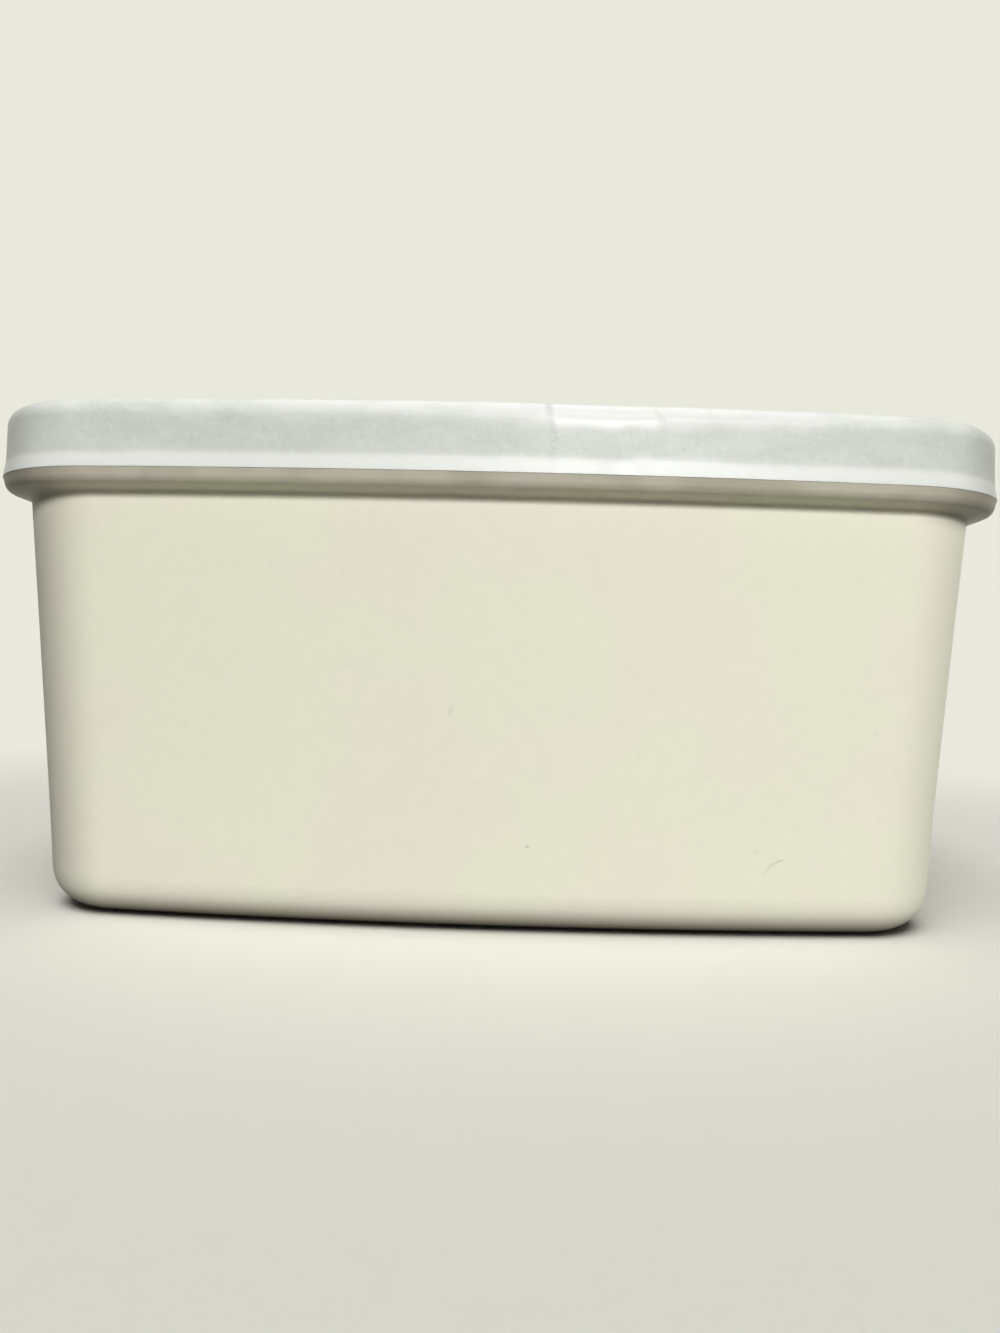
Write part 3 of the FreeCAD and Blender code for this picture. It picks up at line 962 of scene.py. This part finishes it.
def blended(tree, share, first, second):
    """One shader turning into another."""
    return node(tree, "ShaderNodeMixShader", None, {0: share, 1: first, 2: second})


def seen_directly(tree):
    """1 for what the camera sees, straight or in gloss or glass, and 0 for cast light."""
    straight, glossy, through = (
        node(tree, "ShaderNodeLightPath", out=name)
        for name in ("Is Camera Ray", "Is Glossy Ray", "Is Transmission Ray")
    )
    return (straight + glossy + through).clamped()


def add_floor(finishes):
    """A wide level floor that the tub stands on, in rings about the tub."""
    vertices = [(0.0, 0.0, 0.0)]
    for reach in FLOOR_RINGS:
        for step in range(FLOOR_STEPS):
            angle = 2 * math.pi * step / FLOOR_STEPS
            vertices.append((reach * math.cos(angle), reach * math.sin(angle), 0.0))
    faces = [(0, 1 + step, 1 + (step + 1) % FLOOR_STEPS) for step in range(FLOOR_STEPS)]
    for ring in range(len(FLOOR_RINGS) - 1):
        low, high = 1 + ring * FLOOR_STEPS, 1 + (ring + 1) * FLOOR_STEPS
        for step in range(FLOOR_STEPS):
            after = (step + 1) % FLOOR_STEPS
            faces.append((low + step, high + step, high + after, low + after))
    mesh = bpy.data.meshes.new("studio_floor")
    mesh.from_pydata(vertices, [], faces)
    mesh.materials.append(floor_material(finishes))
    floor = bpy.data.objects.new("studio_floor", mesh)
    bpy.context.scene.collection.objects.link(floor)
    floor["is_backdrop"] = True
    return floor


def add_world():
    """A little even light from all round, and a pale backdrop to look at."""
    world = bpy.data.worlds.new("studio_light")
    world.use_nodes = True
    tree = world.node_tree
    tree.nodes.clear()
    lamp = node(tree, "ShaderNodeBackground", None, {"Color": (1.0, 1.0, 1.0), "Strength": FILL})
    backdrop = node(tree, "ShaderNodeBackground", None, {"Color": BACKDROP, "Strength": 1.0})
    ends = blended(tree, seen_directly(tree), lamp, backdrop)
    node(tree, "ShaderNodeOutputWorld", None, {"Surface": ends})
    bpy.context.scene.world = world


def add_lamp(name, azimuth, elevation, spread, strength, lit):
    """A broad soft lamp, far off, for the pieces in a collection. Azimuth 0 is in front and
    turns to the right."""
    light = bpy.data.lights.new(name, "SUN")
    light.energy = strength
    light.angle = math.radians(spread)
    lamp = bpy.data.objects.new(name, light)
    bpy.context.scene.collection.objects.link(lamp)
    azimuth, elevation = math.radians(azimuth), math.radians(elevation)
    towards = Vector((
        math.sin(azimuth) * math.cos(elevation),
        -math.cos(azimuth) * math.cos(elevation),
        math.sin(elevation),
    ))
    lamp.rotation_mode = "QUATERNION"
    lamp.rotation_quaternion = towards.to_track_quat("Z", "Y")
    lamp.light_linking.receiver_collection = lit
    lamp.visible_glossy = name not in BACK_LAMPS


def gathered(name, pieces):
    """A collection that holds pieces for the lamps to light."""
    made = bpy.data.collections.new(name)
    for piece in pieces:
        made.objects.link(piece)
    return made


def add_camera():
    """The camera, close in front at half the tub's height, rolled a little."""
    yaw, pitch, roll = map(math.radians, (CAMERA_YAW, CAMERA_PITCH, CAMERA_ROLL))
    level = Vector((math.cos(yaw), -math.sin(yaw), 0))
    forward = Vector((
        math.sin(yaw) * math.cos(pitch), math.cos(yaw) * math.cos(pitch), math.sin(pitch)
    ))
    upright = level.cross(forward)
    right = math.cos(roll) * level + math.sin(roll) * upright
    up = math.cos(roll) * upright - math.sin(roll) * level
    lens = bpy.data.cameras.new("camera")
    lens.lens, lens.sensor_width, lens.clip_start = LENS, SENSOR, NEAREST
    camera = bpy.data.objects.new("camera", lens)
    bpy.context.scene.collection.objects.link(camera)
    turn = Matrix((right, up, -forward)).transposed()
    camera.matrix_world = Matrix.Translation(CAMERA_PLACE) @ turn.to_4x4()
    bpy.context.scene.camera = camera


# ---------------------------------------------------------------- operators


class FOODTUB_OT_tub(bpy.types.Operator):
    """Build the tub with its wall, flange and rim, in cream satin plastic"""

    bl_idname = "food_tub.build_tub"
    bl_label = "Build Tub"

    def execute(self, context):
        sizes = context.scene.food_tub
        shell = swept(
            "tub_shell", Outline(sizes.outline), tub_rows(sizes),
            lambda point: tub_pushed_in(point, sizes),
        )
        shell.data.materials.append(tub_material(sizes.finishes, sizes))
        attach(shell, "root")
        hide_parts("tub")
        return {"FINISHED"}


class FOODTUB_OT_lid(bpy.types.Operator):
    """Build the lid with its flared skirt, rounded shoulder and sunk panel, in frosted plastic"""

    bl_idname = "food_tub.build_lid"
    bl_label = "Build Lid"

    def execute(self, context):
        sizes = context.scene.food_tub
        at = profile_places(sizes)
        shell = swept(
            "lid_shell", Outline(sizes.outline), lid_rows(sizes),
            lambda point: lid_pushed_in(point, sizes, at),
        )
        shell.data.materials.append(lid_material(sizes.finishes, sizes))
        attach(shell, "root")
        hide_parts("lid")
        return {"FINISHED"}


class FOODTUB_OT_stage(bpy.types.Operator):
    """Set up the plain pale floor, the soft light and the camera"""

    bl_idname = "food_tub.set_stage"
    bl_label = "Set Stage"

    def execute(self, context):
        floor = add_floor(context.scene.food_tub.finishes)
        add_world()
        lit = {
            "object": gathered("lit_object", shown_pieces()),
            "tub": gathered("lit_tub", [bpy.data.objects["tub_shell"]]),
            "lid": gathered("lit_lid", [bpy.data.objects["lid_shell"]]),
            "floor": gathered("lit_floor", [floor]),
        }
        for name, (*lamp, target) in LAMPS.items():
            add_lamp(name, *lamp, lit[target])
        add_camera()
        context.scene.view_settings.view_transform = "Standard"
        return {"FINISHED"}


class FOODTUB_PT_panel(bpy.types.Panel):
    """The food tub's sizes, finishes and steps"""

    bl_idname = "FOODTUB_PT_panel"
    bl_label = "Food Tub"
    bl_space_type = "VIEW_3D"
    bl_region_type = "UI"
    bl_category = "Food Tub"

    def draw(self, context):
        layout = self.layout
        sizes = context.scene.food_tub
        for title, group in (
            ("Outline", sizes.outline), ("Tub", sizes.tub), ("Lid", sizes.lid),
            ("Finishes", sizes.finishes),
        ):
            column = layout.box().column(align=True)
            column.label(text=title)
            for name in group.bl_rna.properties.keys():
                if name not in ("rna_type", "name"):
                    column.prop(group, name)
        for operator in (FOODTUB_OT_tub, FOODTUB_OT_lid, FOODTUB_OT_stage):
            layout.operator(operator.bl_idname)


CLASSES = (
    OutlineSizes, TubSizes, LidSizes, Finishes, FoodTub,
    FOODTUB_OT_tub, FOODTUB_OT_lid, FOODTUB_OT_stage, FOODTUB_PT_panel,
)


def register():
    for item in CLASSES:
        bpy.utils.register_class(item)
    bpy.types.Scene.food_tub = bpy.props.PointerProperty(type=FoodTub)


def unregister():
    del bpy.types.Scene.food_tub
    for item in reversed(CLASSES):
        bpy.utils.unregister_class(item)


def main():
    register()
    bpy.ops.food_tub.build_tub()
    bpy.ops.food_tub.build_lid()
    bpy.ops.food_tub.set_stage()


if __name__ == "__main__":
    main()
